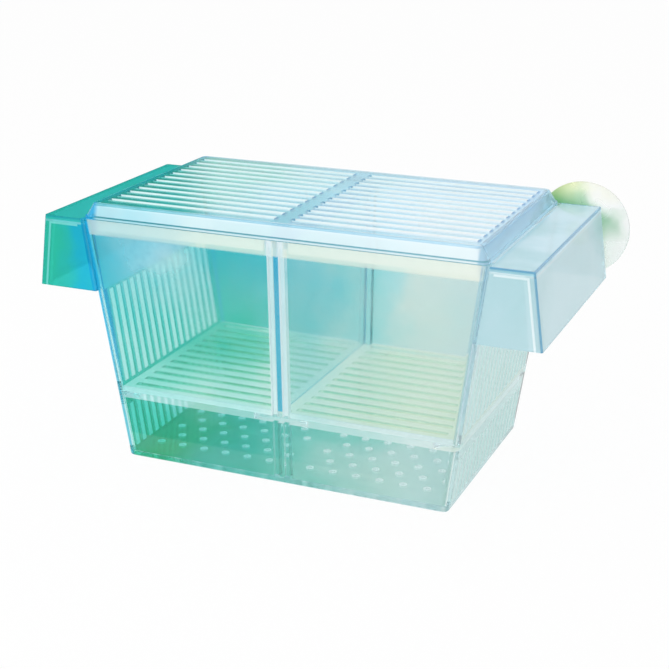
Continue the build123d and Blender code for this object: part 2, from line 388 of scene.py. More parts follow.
@dataclass(frozen=True)
class ClearPlastic:
    """Clear moulded plastic whose tint drifts along the box and from its foot to its rim."""

    name: str
    foot: tuple[Stop, ...]
    rim: tuple[Stop, ...]
    patches: tuple[Patch, ...] = ()
    roughness: float = 0.05
    ior: float = 1.45
    transmission: float = 0.9
    polish_blotches: float = 40.0
    polish_noise: tuple[float, float] = (0.3, 0.7)
    polish_spread: tuple[float, float] = (0.5, 1.6)
    waviness: float = 0.08
    wave_blotches: float = 55.0
    wave_detail: float = 2.0
    wave_mm: float = 0.4
    rim_height_mm: float = 100.0
    depth_tint: Tint = Tint(120, 215, 240)
    depth_density: float = 12.0
    drift_mm: float = 25.0
    light_share: float = 0.15

    def clearness(self, sheet: NodeSheet) -> bpy.types.NodeSocket | None:
        """Finds how much light goes through, lower where a patch is frosted.

        Args:
            sheet: the material's node sheet.

        Returns:
            The share's socket, or None where the piece is as clear all over.
        """
        clear: bpy.types.NodeSocket | None = None
        for patch in self.patches:
            if patch.transmission is None:
                continue
            mix = sheet.add("ShaderNodeMix", data_type="FLOAT")
            for value, place in zip((self.transmission, patch.transmission), MIX_NUMBERS):
                mix.inputs[place].default_value = value
            sheet.wire(patch.share(sheet), mix.inputs[MIX_SHARE])
            if clear is not None:
                sheet.wire(clear, mix.inputs[MIX_NUMBERS[0]])
            clear = mix.outputs[MIX_NUMBER_OUT]
        return clear

    def colour(self, sheet: NodeSheet) -> bpy.types.NodeSocket:
        """Mixes the tint at the foot with the tint at the rim by height, then lays the patches over.

        Args:
            sheet: the material's node sheet.

        Returns:
            The colour's socket.
        """
        height = Fade(Axis.UP, 0.0, self.rim_height_mm).share(sheet)
        colour = sheet.blend(height, sheet.ramp_along_x(self.foot), sheet.ramp_along_x(self.rim))
        for patch in self.patches:
            if patch.stops:
                colour = sheet.blend(patch.share(sheet), colour, sheet.ramp_along_x(patch.stops))
        return colour

    def surface(self, sheet: NodeSheet, colour: bpy.types.NodeSocket) -> bpy.types.NodeSocket:
        """Makes the plastic's surface, slightly wavy and unevenly polished.

        Args:
            sheet: the material's node sheet.
            colour: the tint's socket.

        Returns:
            The surface's shader socket.
        """
        shader = sheet.add("ShaderNodeBsdfPrincipled")
        shader.inputs["IOR"].default_value = self.ior
        shader.inputs["Transmission Weight"].default_value = self.transmission
        clear = self.clearness(sheet)
        if clear is not None:
            sheet.wire(clear, shader.inputs["Transmission Weight"])
        sheet.wire(colour, shader.inputs["Base Color"])
        low, high = self.polish_spread
        rough = (self.roughness * low, self.roughness * high)
        polish = sheet.remap(sheet.noise(self.polish_blotches), self.polish_noise, rough)
        sheet.wire(polish, shader.inputs["Roughness"])
        bump = sheet.add("ShaderNodeBump")
        bump.inputs["Strength"].default_value = self.waviness
        bump.inputs["Distance"].default_value = self.wave_mm * MM
        sheet.wire(sheet.noise(self.wave_blotches, self.wave_detail), bump.inputs["Height"])
        sheet.wire(bump.outputs["Normal"], shader.inputs["Normal"])
        return shader.outputs["BSDF"]

    def build(self) -> bpy.types.Material:
        """Makes the material, which lets the lamps' light through and deepens with its thickness.

        Returns:
            The finished material.
        """
        sheet = NodeSheet(self.name, self.drift_mm)
        colour = self.colour(sheet)
        pale = sheet.add("ShaderNodeMix", data_type="RGBA")
        pale.inputs[MIX_SHARE].default_value = self.light_share
        pale.inputs[MIX_COLOURS[0]].default_value = WHITE
        sheet.wire(colour, pale.inputs[MIX_COLOURS[1]])
        passing = sheet.add("ShaderNodeBsdfTransparent")
        sheet.wire(pale.outputs[MIX_COLOUR_OUT], passing.inputs["Color"])
        path = sheet.add("ShaderNodeLightPath")
        lamps = sheet.math("MAXIMUM", path.outputs["Is Shadow Ray"], path.outputs["Is Diffuse Ray"])
        mix = sheet.add("ShaderNodeMixShader")
        sheet.wire(lamps, mix.inputs["Fac"])
        sheet.wire(self.surface(sheet, colour), mix.inputs[1])
        sheet.wire(passing.outputs["BSDF"], mix.inputs[2])
        sheet.wire(mix.outputs["Shader"], sheet.output.inputs["Surface"])
        depth = sheet.add("ShaderNodeVolumeAbsorption")
        depth.inputs["Color"].default_value = self.depth_tint.linear()
        depth.inputs["Density"].default_value = self.depth_density
        sheet.wire(depth.outputs["Volume"], sheet.output.inputs["Volume"])
        return sheet.material


@dataclass(frozen=True)
class SoftLamp:
    """A soft rectangular lamp that looks at the box."""

    name: str
    place_m: tuple[float, float, float]
    size_m: tuple[float, float]
    watts: float

    def build(self) -> None:
        """Makes the lamp."""
        data = bpy.data.lights.new(self.name, "AREA")
        data.shape = "RECTANGLE"
        data.size, data.size_y = self.size_m
        data.energy = self.watts
        lamp = bpy.data.objects.new(self.name, data)
        lamp.location = self.place_m
        lamp.rotation_euler = (Vector(BOX_MIDDLE) - lamp.location).to_track_quat("-Z", "Y").to_euler()
        bpy.context.collection.objects.link(lamp)


@dataclass(frozen=True)
class GlossCard:
    """A tinted card that only shows in the gloss, as a photographer's flag does."""

    name: str
    corners_m: tuple[tuple[float, float, float], ...]
    tints: tuple[Stop, ...]

    def build(self) -> None:
        """Makes the card, which isn't part of the box."""
        card = stage_panel(self.name, self.corners_m)
        card.visible_camera = card.visible_diffuse = card.visible_transmission = False
        card.visible_shadow = card.visible_volume_scatter = False
        sheet = NodeSheet(f"{self.name}_paper")
        glow = sheet.add("ShaderNodeEmission")
        sheet.wire(sheet.ramp_along_x(self.tints), glow.inputs["Color"])
        sheet.wire(glow.outputs["Emission"], sheet.output.inputs["Surface"])
        card.data.materials.append(sheet.material)


def stage_panel(name: str, corners: tuple[tuple[float, float, float], ...]) -> bpy.types.Object:
    """Makes a flat panel of the studio.

    Args:
        name: the panel's name.
        corners: its four corners in metres.

    Returns:
        The panel, which isn't part of the box.
    """
    mesh = bpy.data.meshes.new(name)
    mesh.from_pydata(corners, [], [(0, 1, 2, 3)])
    panel = bpy.data.objects.new(name, mesh)
    bpy.context.collection.objects.link(panel)
    return panel


@dataclass(frozen=True)
class Studio:
    """White floor and surroundings, a soft lamp at a plain level, and cards in the gloss."""

    floor_half_m: float = 2.5
    fill_strength: float = 0.8
    paper_white: float = 0.93
    paper_grey: float = 0.95
    floor_drop_mm: float = 0.05
    bounces: int = 32
    glossy_bounces: int = 8
    see_through_bounces: int = 64
    cards: tuple[GlossCard, ...] = (
        GlossCard(
            "far_card",
            ((-1.6, 1.04, 0.02), (-0.91, 1.68, 0.02), (-0.91, 1.68, 0.82), (-1.6, 1.04, 0.82)),
            (Stop(-990, Tint(50, 160, 150)), Stop(-915, Tint(255, 255, 255))),
        ),
        GlossCard(
            "near_card",
            ((-0.45, -0.5, 0.002), (0.12, -0.5, 0.002), (0.12, -0.06, 0.002), (-0.45, -0.06, 0.002)),
            (Stop(-90, Tint(20, 90, 100)), Stop(0, Tint(120, 190, 195)), Stop(60, Tint(240, 245, 245))),
        ),
    )
    lamps: tuple[SoftLamp, ...] = (
        SoftLamp("key", (-0.5, -0.8, 0.9), (0.7, 0.7), 4.5),
    )

    @staticmethod
    def seen_share(tree: bpy.types.NodeTree) -> bpy.types.NodeSocket:
        """Finds where a ray comes from the camera, a reflection or clear plastic.

        Args:
            tree: the node tree to add to.

        Returns:
            A socket that is 1 for such rays and 0 for the others.
        """
        path = tree.nodes.new("ShaderNodeLightPath")
        share = path.outputs["Is Camera Ray"]
        for name in ("Is Transmission Ray", "Is Glossy Ray"):
            either = tree.nodes.new("ShaderNodeMath")
            either.operation = "MAXIMUM"
            tree.links.new(share, either.inputs[0])
            tree.links.new(path.outputs[name], either.inputs[1])
            share = either.outputs[0]
        return share

    def build_world(self) -> None:
        """Makes a world that is white where the camera or the plastic sees it."""
        world = bpy.data.worlds.new("white_room")
        world.use_nodes = True
        bpy.context.scene.world = world
        tree = world.node_tree
        tree.nodes.clear()
        strength = tree.nodes.new("ShaderNodeMapRange")
        strength.inputs["To Min"].default_value = self.fill_strength
        strength.inputs["To Max"].default_value = 1.0
        tree.links.new(self.seen_share(tree), strength.inputs["Value"])
        light = tree.nodes.new("ShaderNodeBackground")
        light.inputs["Color"].default_value = WHITE
        tree.links.new(strength.outputs["Result"], light.inputs["Strength"])
        out = tree.nodes.new("ShaderNodeOutputWorld")
        tree.links.new(light.outputs["Background"], out.inputs["Surface"])

    def build_floor(self) -> None:
        """Makes the pale floor, which is white to the camera and keeps a soft shadow."""
        half = self.floor_half_m
        floor = stage_panel("floor", ((-half, -half, 0), (half, -half, 0), (half, half, 0), (-half, half, 0)))
        floor.location.z = -self.floor_drop_mm * MM
        sheet = NodeSheet("floor_paper")
        shade = sheet.add("ShaderNodeBsdfDiffuse")
        shade.inputs["Color"].default_value = (self.paper_grey, self.paper_grey, self.paper_grey, 1.0)
        glow = sheet.add("ShaderNodeEmission")
        share = sheet.remap(self.seen_share(sheet.tree), (0.0, 1.0), (0.0, self.paper_white))
        mix = sheet.add("ShaderNodeMixShader")
        sheet.wire(share, mix.inputs["Fac"])
        sheet.wire(shade.outputs["BSDF"], mix.inputs[1])
        sheet.wire(glow.outputs["Emission"], mix.inputs[2])
        sheet.wire(mix.outputs["Shader"], sheet.output.inputs["Surface"])
        floor.data.materials.append(sheet.material)

    def build(self) -> None:
        """Makes the whole studio and the plain view settings."""
        self.build_world()
        self.build_floor()
        for thing in self.cards + self.lamps:
            thing.build()
        scene = bpy.context.scene
        scene.view_settings.view_transform = "Standard"
        scene.cycles.max_bounces = self.bounces
        scene.cycles.transmission_bounces = self.bounces
        scene.cycles.transparent_max_bounces = self.see_through_bounces
        scene.cycles.glossy_bounces = self.glossy_bounces


@dataclass(frozen=True)
class PhotoCamera:
    """The photograph's viewpoint, as a pinhole camera fitted to the box's corners."""

    azimuth_deg: float = 23.09
    elevation_deg: float = 19.5
    distance_m: float = 0.587
    target_m: tuple[float, float, float] = (0.0038, 0.0, 0.04797)
    lens_mm: float = 76.82
    sensor_mm: float = 36.0

    def build(self) -> None:
        """Makes the camera and gives it to the scene."""
        turn, lift = math.radians(self.azimuth_deg), math.radians(self.elevation_deg)
        back = Vector((
            math.sin(turn) * math.cos(lift),
            -math.cos(turn) * math.cos(lift),
            math.sin(lift),
        ))
        data = bpy.data.cameras.new("photo_camera")
        data.lens = self.lens_mm
        data.sensor_width = self.sensor_mm
        data.clip_start = 0.01
        camera = bpy.data.objects.new("photo_camera", data)
        camera.location = Vector(self.target_m) + back * self.distance_m
        camera.rotation_euler = (-back).to_track_quat("-Z", "Y").to_euler()
        bpy.context.collection.objects.link(camera)
        bpy.context.scene.camera = camera


TUB_FOOT = (
    Stop(-85, Tint(34, 196, 158)),
    Stop(-60, Tint(20, 196, 143)),
    Stop(-35, Tint(96, 206, 190)),
    Stop(0, Tint(140, 216, 204)),
    Stop(38, Tint(200, 228, 223)),
    Stop(62, Tint(206, 231, 229)),
    Stop(104, Tint(188, 218, 216)),
)
TUB_RIM = (
    Stop(-104, Tint(62, 205, 185)),
    Stop(-76, Tint(66, 214, 236)),
    Stop(-55, Tint(36, 202, 230)),
    Stop(-35, Tint(48, 204, 220)),
    Stop(-12, Tint(118, 216, 228)),
    Stop(10, Tint(184, 236, 248)),
    Stop(35, Tint(232, 242, 238)),
    Stop(104, Tint(200, 228, 235)),
)
TUB_FRONT = (
    Stop(-85, Tint(205, 246, 246)),
    Stop(-35, Tint(208, 246, 248)),
    Stop(5, Tint(238, 250, 250)),
    Stop(85, Tint(248, 252, 252)),
)
FRONT_LINING = (Stop(-85, Tint(150, 232, 226)), Stop(-50, Tint(200, 242, 234)), Stop(0, Tint(226, 247, 240)))
# Painted reflection: pale tints laid in cloudy patches on the front wall's outside.
PAINTED_REFLECTION_TINT = (Stop(-80, Tint(190, 242, 250)), Stop(-30, Tint(235, 248, 246)), Stop(80, Tint(246, 244, 238)))
RAIL_REAR = (Stop(-10, Tint(70, 175, 185)), Stop(10, Tint(60, 170, 180)))
WING = (
    Stop(-104, Tint(64, 206, 182)),
    Stop(-94, Tint(62, 203, 194)),
    Stop(-82, Tint(48, 196, 224)),
    Stop(80, Tint(197, 228, 233)),
    Stop(104, Tint(204, 231, 237)),
)
WING_TOP = (
    Stop(-104, Tint(60, 202, 190)),
    Stop(-80, Tint(66, 206, 198)),
    Stop(80, Tint(172, 217, 226)),
    Stop(104, Tint(212, 240, 253)),
)
WING_CEILING = (Stop(-104, Tint(150, 235, 240)), Stop(104, Tint(230, 246, 250)))
WING_EDGE = (Stop(-104, Tint(50, 178, 182)), Stop(104, Tint(110, 172, 208)))
WING_GLINT = (Stop(-104, Tint(130, 225, 220)), Stop(104, Tint(242, 252, 254)))
LID_TINT = (
    Stop(-85, Tint(80, 205, 188)),
    Stop(-45, Tint(106, 210, 200)),
    Stop(-5, Tint(180, 229, 242)),
    Stop(40, Tint(208, 236, 252)),
    Stop(85, Tint(214, 239, 255)),
)
LID_BEVEL = (Stop(-85, Tint(185, 238, 252)), Stop(-30, Tint(232, 250, 255)), Stop(85, Tint(242, 252, 255)))
LID_LINE = (Stop(-85, Tint(50, 150, 165)), Stop(85, Tint(130, 185, 200)))
LID_EDGE = (Stop(-85, Tint(90, 190, 205)), Stop(0, Tint(150, 205, 228)), Stop(85, Tint(185, 222, 242)))
LID_SLOT_END = (Stop(-85, Tint(60, 170, 175)), Stop(0, Tint(50, 160, 200)), Stop(85, Tint(90, 165, 215)))
DIVIDER_TINT = (
    Stop(-5, Tint(222, 246, 248)),
    Stop(5, Tint(226, 247, 249)),
)
SHELF_TINT = (
    Stop(-72, Tint(120, 228, 198)),
    Stop(-40, Tint(200, 244, 222)),
    Stop(0, Tint(232, 248, 228)),
    Stop(72, Tint(250, 252, 228)),
)
SHELF_TOP = (
    Stop(-72, Tint(100, 220, 194)),
    Stop(-50, Tint(140, 228, 206)),
    Stop(-26, Tint(242, 252, 242)),
    Stop(0, Tint(250, 253, 240)),
    Stop(35, Tint(250, 251, 230)),
    Stop(72, Tint(250, 250, 226)),
)
SHELF_NEAR = (
    Stop(-72, Tint(196, 246, 234)),
    Stop(-35, Tint(246, 254, 246)),
    Stop(10, Tint(250, 253, 238)),
    Stop(72, Tint(250, 250, 226)),
)
CUP_TINT = (
    Stop(71, Tint(100, 175, 110)),
    Stop(84, Tint(135, 192, 146)),
    Stop(91, Tint(155, 204, 170)),
    Stop(97, Tint(235, 246, 238)),
    Stop(101, Tint(254, 255, 254)),
)
# Painted highlight: cream tints over the top of the cup.
CUP_PAINTED_HIGHLIGHT = (Stop(72, Tint(225, 235, 180)), Stop(110, Tint(253, 250, 225)))
# Painted light: near-white tints that lighten the lower right of the cup against the shade of its underside.
CUP_PAINTED_LIGHT = (Stop(72, Tint(240, 250, 242)), Stop(110, Tint(255, 255, 255)))
PALE = (Stop(-85, Tint(240, 252, 252)), Stop(85, Tint(250, 252, 252)))
CREAM = (Stop(-85, Tint(225, 242, 240)), Stop(0, Tint(244, 250, 240)), Stop(85, Tint(250, 250, 240)))
# Painted light: near-white tints on the sides of the end walls' water slots.
PAINTED_SLOT_LIGHT = (Stop(-85, Tint(240, 253, 250)), Stop(60, Tint(205, 230, 228)))
WALL_ROOT = (Stop(-85, Tint(120, 232, 252)), Stop(85, Tint(232, 244, 247)))
MARGIN_BLUE = (Stop(-85, Tint(36, 178, 232)), Stop(85, Tint(202, 226, 234)))
EDGE_LOW = (Stop(-85, Tint(45, 178, 214)), Stop(85, Tint(236, 243, 236)))
EDGE_BLUE = (Stop(-85, Tint(60, 195, 248)), Stop(0, Tint(25, 185, 222)), Stop(85, Tint(195, 222, 240)))


class CadPiece:
    """A CAD node that stays as it is and gets its finish and lightly rounded edges."""

    ROUNDING_STEPS = 2
    SHARP_FROM_DEG = 35

    def __init__(self, node: str, finish: ClearPlastic, rounding_mm: float) -> None:
        """Notes what the piece is made of.

        Args:
            node: the CAD node's name.
            finish: what the piece is made of.
            rounding_mm: the radius that its sharp edges are rounded to.
        """
        self.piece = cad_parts[node]
        self.finish = finish
        self.rounding_mm = rounding_mm

    def dress(self) -> bpy.types.Object:
        """Gives the node its material and rounds its edges.

        Returns:
            The dressed piece.
        """
        material = self.finish.build()
        for place in self.piece.material_slots:
            place.material = material
        rounding = self.piece.modifiers.new("rounded_edges", "BEVEL")
        rounding.width = self.rounding_mm * MM
        rounding.segments = self.ROUNDING_STEPS
        rounding.limit_method = "ANGLE"
        rounding.angle_limit = math.radians(self.SHARP_FROM_DEG)
        return self.piece


@dataclass
class Tub:
    """The clear moulding with its two hanger wings, slotted ends and drained floor."""

    rounding_mm: float = 0.25
    floor_top_mm: float = 2.0
    wall_mm: float = 2.0
    foot_half_length_mm: float = 69.35
    foot_half_depth_mm: float = 45.25
    lip_bottom_mm: float = 95.0
    rail_half_mm: float = 3.4
    groove_half_mm: float = 1.2
    seat_mm: float = 28.0
    seat_thickness_mm: float = 2.5
    slot_pitch_mm: float = 5.2
    slot_width_mm: float = 2.0
    slot_shift_mm: float = 2.6
    slot_painted_light_mm: float = 0.35
    lower_slots_mm: tuple[float, float] = (3.0, 21.0)
    upper_slots_mm: tuple[float, float] = (31.0, 69.5)
    drain_radius_mm: float = 1.15
    drain_first_mm: tuple[float, float] = (6.5, 4.4)
    drain_cell_mm: tuple[float, float] = (10.0, 17.6)
    wing_half_depth_mm: float = 49.2
    wing_top_mm: float = 100.0
    wing_bottom_mm: float = 70.8
    wing_reach_mm: float = 113.7
    wing_lean: float = -0.137

    def inside(self) -> tuple[Fade, Fade]:
        """Returns the limits of the tub's inside."""
        length = self.foot_half_length_mm - self.wall_mm
        depth = self.foot_half_depth_mm - self.wall_mm
        return (
            Fade(Axis.ALONG, length + 0.15, length, True, END_LEAN),
            Fade(Axis.ACROSS, depth + 0.15, depth, True, SIDE_LEAN),
        )

    def floor_patches(self) -> tuple[Patch, ...]:
        """Returns the milky floor and the white rims and walls of its drain holes, which are a painted
        highlight.
        """
        low = Fade(Axis.UP, self.floor_top_mm + 0.6, self.floor_top_mm)
        drained = (
            Fade(Axis.UP, self.floor_top_mm + 0.3, self.floor_top_mm + 0.1),
            Fade(Axis.ALONG, 4.0, 4.5, mirrored=True),
            Fade(Axis.ALONG, 65.0, 64.5, mirrored=True),
            Fade(Axis.ACROSS, 34.5, 34.0, mirrored=True),
        )
        # Painted highlight: a white, nearly opaque ring round each drain hole and down its walls stands in
        # for the light its edges catch.
        painted_hole_highlights = HoleRims(self.drain_first_mm, self.drain_cell_mm, self.drain_radius_mm + 0.45)
        return (Patch((low,), transmission=0.75), Patch((*drained, painted_hole_highlights), PALE, 0.05))

    def front_patches(self) -> tuple[Patch, ...]:
        """Returns the front wall: its clear outside, the paler left of its inside and two painted
        reflections, pale cloudy patches on its outside.
        """
        inner = self.wall_mm - self.foot_half_depth_mm
        outside = Fade(Axis.ACROSS, inner - 0.1, inner - 0.4, lean=-SIDE_LEAN)
        above = Fade(Axis.UP, self.floor_top_mm, self.floor_top_mm + 1.0)
        lining = (
            Fade(Axis.ACROSS, inner + 0.3, inner + 0.1, lean=-SIDE_LEAN),
            Fade(Axis.UP, self.seat_mm - 2.0, self.seat_mm),
            Fade(Axis.UP, 88.0, 62.0),
            Fade(Axis.ALONG, 12.0, -2.0),
        )
        # Painted reflections of the surroundings on the front wall, pale and partly frosted in soft clouds.
        left_painted_reflection = (
            Fade(Axis.ALONG, -28.0, -40.0),
            Fade(Axis.ALONG, -78.0, -58.0),
            Fade(Axis.UP, 64.0, 80.0),
            Clouds(55.0, 0.22, 0.7),
        )
        right_painted_reflection = Fade(Axis.ALONG, 5.0, 18.0), Fade(Axis.UP, 40.0, 82.0), Clouds(40.0, 0.36, 0.64)
        return (
            Patch(lining, FRONT_LINING),
            Patch((outside, above), TUB_FRONT),
            Patch((outside, above, Clouds()), transmission=0.9),
            Patch((outside, *left_painted_reflection), PAINTED_REFLECTION_TINT, 0.5),
            Patch((outside, *right_painted_reflection), PAINTED_REFLECTION_TINT, 0.8),
        )

    def rim_patches(self) -> tuple[Patch, ...]:
        """Returns the pale band behind which the lid's lip shows."""
        band = (
            Fade(Axis.UP, self.lip_bottom_mm - 1.4, self.lip_bottom_mm - 0.8),
            Fade(Axis.ALONG, 82.5, 81.5, mirrored=True),
            Fade(Axis.ACROSS, 44.0, 45.0, mirrored=True),
        )
        return (Patch(band, CREAM, 0.65),)

    def corner_patches(self) -> tuple[Patch, ...]:
        """Returns the deep tint of the tub's upright corners, seen edge on."""
        edge = self.foot_half_length_mm
        corner = (
            Fade(Axis.ALONG, edge - self.wall_mm - 0.9, edge - self.wall_mm - 0.3, True, END_LEAN),
            Fade(Axis.ALONG, edge + 0.8, edge + 0.3, True, END_LEAN),
            Fade(Axis.ACROSS, self.foot_half_depth_mm - 0.8, self.foot_half_depth_mm - 0.3, True, SIDE_LEAN),
        )
        upper, lower = Fade(Axis.UP, 52.0, 72.0), Fade(Axis.UP, 72.0, 52.0)
        return Patch((*corner, upper), EDGE_BLUE), Patch((*corner, lower), EDGE_LOW)

    def rib_patches(self) -> tuple[Patch, ...]:
        """Returns the frosted rails beside the divider and the frosted seats of the false floors."""
        rails = (
            *self.inside(),
            Fade(Axis.ALONG, self.rail_half_mm + 0.3, self.rail_half_mm + 0.1, mirrored=True),
            Fade(Axis.ALONG, self.groove_half_mm - 0.2, self.groove_half_mm, mirrored=True),
            Fade(Axis.UP, self.seat_mm - 1.0, self.seat_mm),
        )
        seats = (
            *self.inside(),
            Fade(Axis.UP, self.seat_mm - self.seat_thickness_mm - 0.2, self.seat_mm - self.seat_thickness_mm),
            Fade(Axis.UP, self.seat_mm + 0.2, self.seat_mm + 0.1),
        )
        front, rear = Fade(Axis.ACROSS, -30.0, -31.0), Fade(Axis.ACROSS, 30.0, 31.0)
        sides = Facing(Axis.ALONG)
        return (
            Patch((front, *rails), PALE, 0.25),
            Patch((front, *rails[2:]), PALE),
            Patch((rear, sides, *rails), RAIL_REAR),
            Patch(seats, PALE, 0.6),
        )

    def end_wall(self) -> tuple[Fade, Fade]:
        """Returns the limits of the end walls' thickness, without what stands out from them."""
        inner = self.foot_half_length_mm - self.wall_mm
        outer = self.foot_half_length_mm
        return (
            Fade(Axis.ALONG, inner - 0.3, inner, True, END_LEAN),
            Fade(Axis.ALONG, outer + 0.5, outer + 0.2, True, END_LEAN),
        )

    def end_wall_patches(self) -> tuple[Patch, ...]:
        """Returns the end walls' blue front margin and their milky top above the water slots."""
        slots_top = self.upper_slots_mm[1]
        margin = Fade(Axis.ACROSS, -40.6, -42.0), Fade(Axis.UP, self.seat_mm, self.seat_mm + 16.0)
        root = Fade(Axis.ACROSS, 44.0, 43.5, mirrored=True), Fade(Axis.UP, slots_top + 0.6, slots_top + 1.2)
        return (
            Patch((*self.end_wall(), *margin), MARGIN_BLUE, 0.8),
            Patch((*self.end_wall(), *root), WALL_ROOT, 0.45),
        )

    def slot_patches(self) -> tuple[Patch, ...]:
        """Returns the sides of the water slots in the end walls, painted bright and nearly opaque: painted
        light that comes through the slots.
        """
        half_width = self.slot_width_mm / 2 + self.slot_painted_light_mm
        slotted = (
            Bars(Axis.ACROSS, self.slot_pitch_mm, half_width, self.slot_shift_mm),
            self.end_wall()[0],
            Fade(Axis.ALONG, 82.0, 81.0, mirrored=True),
            Fade(Axis.ACROSS, 41.5, 41.0, mirrored=True),
        )
        patches = []
        for low, high in (self.lower_slots_mm, self.upper_slots_mm):
            heights = Fade(Axis.UP, low - 0.3, low), Fade(Axis.UP, high + 0.3, high)
            # Painted light on the slot sides, widened past the slots by the painted light margin.
            patches.append(Patch((*slotted, *heights), PAINTED_SLOT_LIGHT, 0.08))
        return tuple(patches)

    def wing_patches(self) -> tuple[Patch, ...]:
        """Returns the milky wings, their tinted outer edges and the glint of their inner edges."""
        reach, depth, top = self.wing_reach_mm, self.wing_half_depth_mm, self.wing_top_mm
        out_end = Fade(Axis.ALONG, reach - 0.9, reach - 0.5, True, self.wing_lean)
        out_side = Fade(Axis.ACROSS, depth - 0.9, depth - 0.5, mirrored=True)
        out_top = Fade(Axis.UP, top - 0.9, top - 0.5)
        root = self.foot_half_length_mm
        wing = Fade(Axis.ALONG, root + 0.2, root + 0.5, True, END_LEAN)
        glint_end = (
            Fade(Axis.ALONG, reach - 3.4, reach - 3.1, True, self.wing_lean),
            Fade(Axis.ALONG, reach - 2.2, reach - 2.5, True, self.wing_lean),
            Fade(Axis.UP, top - 2.3, top - 2.5),
        )
        glint_top = (
            Fade(Axis.UP, top - 3.4, top - 3.1),
            Fade(Axis.UP, top - 2.2, top - 2.5),
            Fade(Axis.ALONG, reach - 2.3, reach - 2.5, True, self.wing_lean),
            Fade(Axis.ALONG, root + 2.0, root + 2.3, True, END_LEAN),
        )
        face = Fade(Axis.ACROSS, depth - 0.5, depth - 0.3, mirrored=True)
        roof = Fade(Axis.UP, top - 2.2, top - 1.9)
        ceiling, under = Fade(Axis.UP, top - 2.6, top - 2.3), Fade(Axis.UP, top - 1.4, top - 1.7)
        above = Fade(Axis.UP, self.wing_bottom_mm - 0.3, self.wing_bottom_mm - 0.1)
        return (
            Patch((wing, above), WING, 0.5),
            Patch((wing, roof), WING_TOP, 0.5),
            Patch((wing, ceiling, under), WING_CEILING, 0.6),
            Patch((wing, out_end, out_side), WING_EDGE),
            Patch((wing, out_top, out_side), WING_EDGE),
            Patch((wing, out_top, out_end), WING_EDGE),
            Patch((wing, face, above, *glint_end), WING_GLINT, 0.3),
            Patch((wing, face, above, *glint_top), WING_GLINT, 0.3),
        )

    def build(self) -> list[bpy.types.Object]:
        """Dresses the moulding.

        Returns:
            The tub's pieces.
        """
        patches = (
            *self.floor_patches(),
            *self.front_patches(),
            *self.rim_patches(),
            *self.corner_patches(),
            *self.rib_patches(),
            *self.end_wall_patches(),
            *self.slot_patches(),
            *self.wing_patches(),
        )
        finish = ClearPlastic("tub_clear", TUB_FOOT, TUB_RIM, patches, transmission=0.97)
        return [CadPiece("tank", finish, self.rounding_mm).dress()]


@dataclass
class Lid:
    """The slotted cover, clear on top and frosted along its front and back edges."""

    rounding_mm: float = 0.25
    plate_edge_mm: float = 45.4
    plate_bottom_mm: float = 104.2
    flange_top_mm: float = 101.2
    flange_bottom_mm: float = 100.0
    line_mm: float = 0.35
    slot_pitch_mm: float = 7.05
    slot_width_mm: float = 2.8
    slot_start_mm: float = 3.75
    slot_end_mm: float = 76.0

    def build(self) -> list[bpy.types.Object]:
        """Dresses the cover.

        Returns:
            The lid's pieces.
        """
        edge = Fade(Axis.ACROSS, self.plate_edge_mm - 0.6, self.plate_edge_mm, mirrored=True)
        # The left end of the lid's front and back edges, where the rounded corner gets a painted blue
        # reflection.
        corner = Fade(Axis.ALONG, -76.5, -78.5)
        band = Fade(Axis.ALONG, self.slot_start_mm, self.slot_start_mm - 0.3, mirrored=True)
        rows = (
            Bars(Axis.ACROSS, self.slot_pitch_mm, self.slot_width_mm / 2, self.slot_pitch_mm / 2),
            Fade(Axis.ACROSS, 43.0, 42.5, mirrored=True),
            Fade(Axis.UP, self.plate_bottom_mm - 0.2, self.plate_bottom_mm),
        )
        inner_ends = (
            Fade(Axis.ALONG, self.slot_start_mm - 1.2, self.slot_start_mm - 1.0, mirrored=True),
            Fade(Axis.ALONG, self.slot_start_mm + 0.2, self.slot_start_mm + 0.1, mirrored=True),
        )
        outer_ends = (
            Fade(Axis.ALONG, self.slot_end_mm - 0.2, self.slot_end_mm - 0.1, mirrored=True),
            Fade(Axis.ALONG, self.slot_end_mm + 1.2, self.slot_end_mm + 1.0, mirrored=True),
        )
        edge_top = Fade(Axis.UP, self.plate_bottom_mm + 1.0, self.plate_bottom_mm + 1.3)
        near_edge = Fade(Axis.ACROSS, self.plate_edge_mm, self.plate_edge_mm + 0.3, mirrored=True)
        end_bevel = Fade(Axis.ALONG, 78.5, 79.5, mirrored=True)
        slots = (
            Facing(Axis.ACROSS),
            Fade(Axis.ACROSS, 43.0, 42.5, mirrored=True),
            Fade(Axis.UP, self.plate_bottom_mm - 0.2, self.plate_bottom_mm),
        )
        crease = (
            Fade(Axis.UP, self.flange_top_mm - self.line_mm, self.flange_top_mm - 0.1),
            Fade(Axis.UP, self.flange_top_mm + self.line_mm, self.flange_top_mm + 0.1),
        )
        under = Fade(Axis.UP, self.flange_bottom_mm + self.line_mm, self.flange_bottom_mm + 0.15)
        lip = Fade(Axis.UP, self.flange_bottom_mm - self.line_mm, self.flange_bottom_mm - 0.15)
        patches = (
            Patch((band,), transmission=0.97),
            Patch((*rows, *inner_ends), LID_SLOT_END, 0.6),
            Patch((*rows, *outer_ends), LID_SLOT_END, 0.6),
            Patch((edge,), LID_BEVEL, 0.25),
            Patch((edge_top, near_edge), LID_EDGE),
            Patch((end_bevel,), LID_EDGE),
            Patch(slots, PALE, 0.2),
            Patch((edge, *crease), LID_LINE),
            Patch((edge, under, lip), LID_LINE),
            # Painted reflection: deep blue, partly frosted, on the left end of the front and back edges.
            Patch((edge, corner), EDGE_BLUE, 0.6),
        )
        finish = ClearPlastic("lid_clear", LID_TINT, LID_TINT, patches, transmission=0.88)
        return [CadPiece("lid", finish, self.rounding_mm).dress()]


